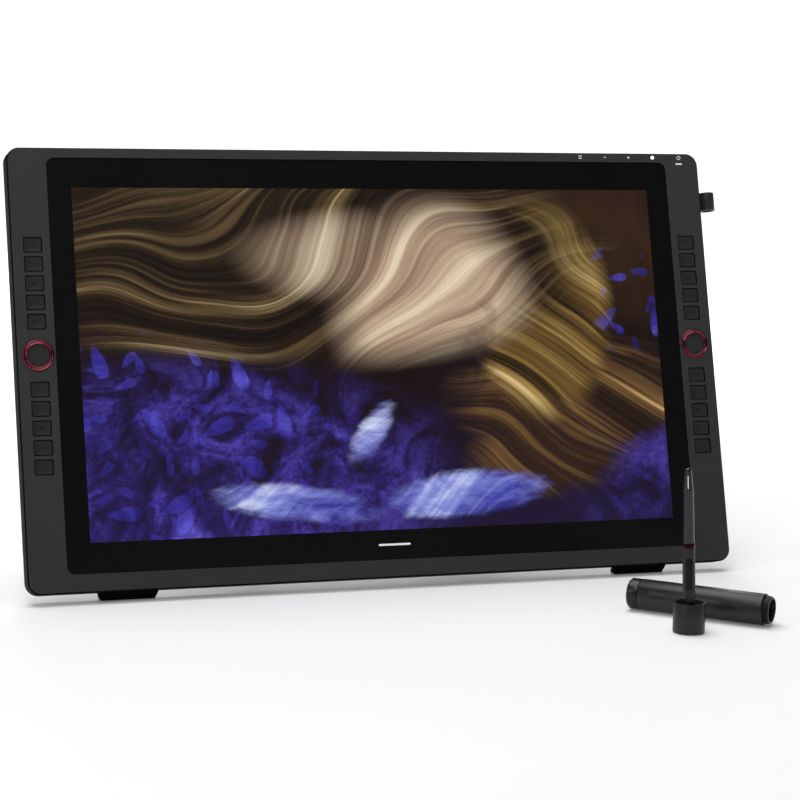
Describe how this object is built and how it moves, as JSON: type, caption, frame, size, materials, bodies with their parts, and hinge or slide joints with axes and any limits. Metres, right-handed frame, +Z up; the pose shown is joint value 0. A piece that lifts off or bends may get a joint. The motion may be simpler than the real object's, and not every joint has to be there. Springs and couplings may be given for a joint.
{
  "type": "pen drawing tablet",
  "caption": "Leaning pen display with rows of edge keys, ring dials and a folding rear leg, with its upright pen, pen stand and tubular pen case.",
  "frame": {"origin": "bottom centre of the whole part's box, on the table top", "axes": "+Z up, +X to the viewer's right along the display's width, the screen faces -Y and leans back 16 degrees"},
  "size_m": [0.5896, 0.3388, 0.3303],
  "materials": {
    "frame_grey": "satin moulded, dark grey",
    "key_grey": "satin moulded, dark grey",
    "rear_black": "fine textured, black",
    "cover_glass": "fine matte etched",
    "lcd": "picture panel",
    "white_plastic": "smooth white",
    "board_green": "solder mask",
    "inner_metal": "plain sheet",
    "socket_metal": "plated",
    "black_plastic": "smooth black",
    "light_white": "lit light pipe",
    "black_rubber": "matte rubber",
    "leg_metal": "powder coated, dark",
    "pin_steel": "turned",
    "screw_black": "blackened",
    "insert_brass": "knurled and turned",
    "holder_plastic": "satin black",
    "ring_red": "polished, red anodised",
    "pen_rubber": "soft-touch black",
    "pen_plastic": "satin black",
    "band_red": "red anodised",
    "inner_copper": "wound coil and board",
    "stand_plastic": "satin dark grey",
    "stand_rubber": "soft insert"
  },
  "bodies": {
    "display": {"front_frame": "frame_grey", "rear_cover": "rear_black", "electronics_cover": "rear_black", "cover_glass": "cover_glass", "lcd_panel": "lcd", "backlight_unit": "white_plastic", "sensor_board": "board_green", "chassis_plate": "inner_metal", "main_board": "board_green", "video_socket": "socket_metal", "usb_sockets": "socket_metal", "power_socket": "black_plastic", "key_boards": "board_green", "dial_hubs": "frame_grey", "status_light": "light_white", "front_feet": "black_rubber", "rear_pads": "black_rubber", "hinge_bracket": "leg_metal", "hinge_pins": "pin_steel", "bracket_screws": "pin_steel", "cover_screws": "screw_black", "wall_mount_inserts": "insert_brass", "friction_washers": "pin_steel"},
    "pen_holder": {"pen_holder": "holder_plastic"},
    "leg": {"stand_leg": "leg_metal", "leg_foot": "black_rubber"},
    "key_left_1": {"key_left_1": "key_grey"},
    "key_left_2": {"key_left_2": "key_grey"},
    "key_left_3": {"key_left_3": "key_grey"},
    "key_left_4": {"key_left_4": "key_grey"},
    "key_left_5": {"key_left_5": "key_grey"},
    "key_left_6": {"key_left_6": "key_grey"},
    "key_left_7": {"key_left_7": "key_grey"},
    "key_left_8": {"key_left_8": "key_grey"},
    "key_left_9": {"key_left_9": "key_grey"},
    "key_left_10": {"key_left_10": "key_grey"},
    "key_right_1": {"key_right_1": "key_grey"},
    "key_right_2": {"key_right_2": "key_grey"},
    "key_right_3": {"key_right_3": "key_grey"},
    "key_right_4": {"key_right_4": "key_grey"},
    "key_right_5": {"key_right_5": "key_grey"},
    "key_right_6": {"key_right_6": "key_grey"},
    "key_right_7": {"key_right_7": "key_grey"},
    "key_right_8": {"key_right_8": "key_grey"},
    "key_right_9": {"key_right_9": "key_grey"},
    "key_right_10": {"key_right_10": "key_grey"},
    "dial_ring_left": {"dial_ring_left": "ring_red"},
    "dial_ring_right": {"dial_ring_right": "ring_red"},
    "pen_stand": {"pen_stand_cup": "stand_plastic", "pen_stand_insert": "stand_rubber"},
    "pen": {"pen_grip": "pen_rubber", "pen_tail": "pen_plastic", "pen_band": "band_red", "pen_core": "inner_copper"},
    "pen_nib": {"pen_nib": "black_plastic"},
    "pen_rocker": {"pen_rocker": "pen_plastic"},
    "case": {"case_tube": "stand_plastic", "case_liner": "black_plastic", "spare_nibs": "black_plastic"},
    "case_end_cap": {"case_end_cap": "stand_plastic"}
  },
  "joints": [
    {"name": "leg_hinge", "type": "hinge", "parent": "display", "child": "leg", "pos_m": [-0.00885, 0.11262, 0.17933], "axis": [1, 0, 0], "range_deg": [-32, 114]},
    {"name": "pen_holder_pull", "type": "slide", "parent": "display", "child": "pen_holder", "axis": [1, 0, 0], "range_m": [0, 0.02]},
    {"name": "key_left_1_press", "type": "slide", "parent": "display", "child": "key_left_1", "axis": [0, 0.9613, -0.2756], "range_m": [0, 0.001], "stiffness_N_per_m": 400},
    {"name": "key_left_2_press", "type": "slide", "parent": "display", "child": "key_left_2", "axis": [0, 0.9613, -0.2756], "range_m": [0, 0.001], "stiffness_N_per_m": 400},
    {"name": "key_left_3_press", "type": "slide", "parent": "display", "child": "key_left_3", "axis": [0, 0.9613, -0.2756], "range_m": [0, 0.001], "stiffness_N_per_m": 400},
    {"name": "key_left_4_press", "type": "slide", "parent": "display", "child": "key_left_4", "axis": [0, 0.9613, -0.2756], "range_m": [0, 0.001], "stiffness_N_per_m": 400},
    {"name": "key_left_5_press", "type": "slide", "parent": "display", "child": "key_left_5", "axis": [0, 0.9613, -0.2756], "range_m": [0, 0.001], "stiffness_N_per_m": 400},
    {"name": "key_left_6_press", "type": "slide", "parent": "display", "child": "key_left_6", "axis": [0, 0.9613, -0.2756], "range_m": [0, 0.001], "stiffness_N_per_m": 400},
    {"name": "key_left_7_press", "type": "slide", "parent": "display", "child": "key_left_7", "axis": [0, 0.9613, -0.2756], "range_m": [0, 0.001], "stiffness_N_per_m": 400},
    {"name": "key_left_8_press", "type": "slide", "parent": "display", "child": "key_left_8", "axis": [0, 0.9613, -0.2756], "range_m": [0, 0.001], "stiffness_N_per_m": 400},
    {"name": "key_left_9_press", "type": "slide", "parent": "display", "child": "key_left_9", "axis": [0, 0.9613, -0.2756], "range_m": [0, 0.001], "stiffness_N_per_m": 400},
    {"name": "key_left_10_press", "type": "slide", "parent": "display", "child": "key_left_10", "axis": [0, 0.9613, -0.2756], "range_m": [0, 0.001], "stiffness_N_per_m": 400},
    {"name": "key_right_1_press", "type": "slide", "parent": "display", "child": "key_right_1", "axis": [0, 0.9613, -0.2756], "range_m": [0, 0.001], "stiffness_N_per_m": 400},
    {"name": "key_right_2_press", "type": "slide", "parent": "display", "child": "key_right_2", "axis": [0, 0.9613, -0.2756], "range_m": [0, 0.001], "stiffness_N_per_m": 400},
    {"name": "key_right_3_press", "type": "slide", "parent": "display", "child": "key_right_3", "axis": [0, 0.9613, -0.2756], "range_m": [0, 0.001], "stiffness_N_per_m": 400},
    {"name": "key_right_4_press", "type": "slide", "parent": "display", "child": "key_right_4", "axis": [0, 0.9613, -0.2756], "range_m": [0, 0.001], "stiffness_N_per_m": 400},
    {"name": "key_right_5_press", "type": "slide", "parent": "display", "child": "key_right_5", "axis": [0, 0.9613, -0.2756], "range_m": [0, 0.001], "stiffness_N_per_m": 400},
    {"name": "key_right_6_press", "type": "slide", "parent": "display", "child": "key_right_6", "axis": [0, 0.9613, -0.2756], "range_m": [0, 0.001], "stiffness_N_per_m": 400},
    {"name": "key_right_7_press", "type": "slide", "parent": "display", "child": "key_right_7", "axis": [0, 0.9613, -0.2756], "range_m": [0, 0.001], "stiffness_N_per_m": 400},
    {"name": "key_right_8_press", "type": "slide", "parent": "display", "child": "key_right_8", "axis": [0, 0.9613, -0.2756], "range_m": [0, 0.001], "stiffness_N_per_m": 400},
    {"name": "key_right_9_press", "type": "slide", "parent": "display", "child": "key_right_9", "axis": [0, 0.9613, -0.2756], "range_m": [0, 0.001], "stiffness_N_per_m": 400},
    {"name": "key_right_10_press", "type": "slide", "parent": "display", "child": "key_right_10", "axis": [0, 0.9613, -0.2756], "range_m": [0, 0.001], "stiffness_N_per_m": 400},
    {"name": "dial_left_turn", "type": "hinge", "parent": "display", "child": "dial_ring_left", "pos_m": [-0.27827, 0.07713, 0.17889], "axis": [0, -0.9613, 0.2756], "continuous": true},
    {"name": "dial_right_turn", "type": "hinge", "parent": "display", "child": "dial_ring_right", "pos_m": [0.26058, 0.07713, 0.17889], "axis": [0, -0.9613, 0.2756], "continuous": true},
    {"name": "pen_stand_lift", "type": "slide", "parent": "display", "child": "pen_stand", "axis": [0, 0, 1], "range_m": [0, 0.15]},
    {"name": "pen_lift", "type": "slide", "parent": "pen_stand", "child": "pen", "axis": [-0.0459, 0.0167, 0.9988], "range_m": [0, 0.15]},
    {"name": "nib_press", "type": "slide", "parent": "pen", "child": "pen_nib", "axis": [-0.0459, 0.0167, 0.9988], "range_m": [0, 0.0005], "stiffness_N_per_m": 2000},
    {"name": "rocker_tilt", "type": "hinge", "parent": "pen", "child": "pen_rocker", "pos_m": [0.14555, -0.15986, 0.04295], "axis": [0.9124, -0.4063, 0.0487], "range_deg": [-3, 3], "stiffness_Nm_per_rad": 0.05},
    {"name": "case_lift", "type": "slide", "parent": "display", "child": "case", "axis": [0, 0, 1], "range_m": [0, 0.15]},
    {"name": "end_cap_pull", "type": "slide", "parent": "case", "child": "case_end_cap", "axis": [-0.6947, 0.7193, 0], "range_m": [0, 0.02]}
  ]
}
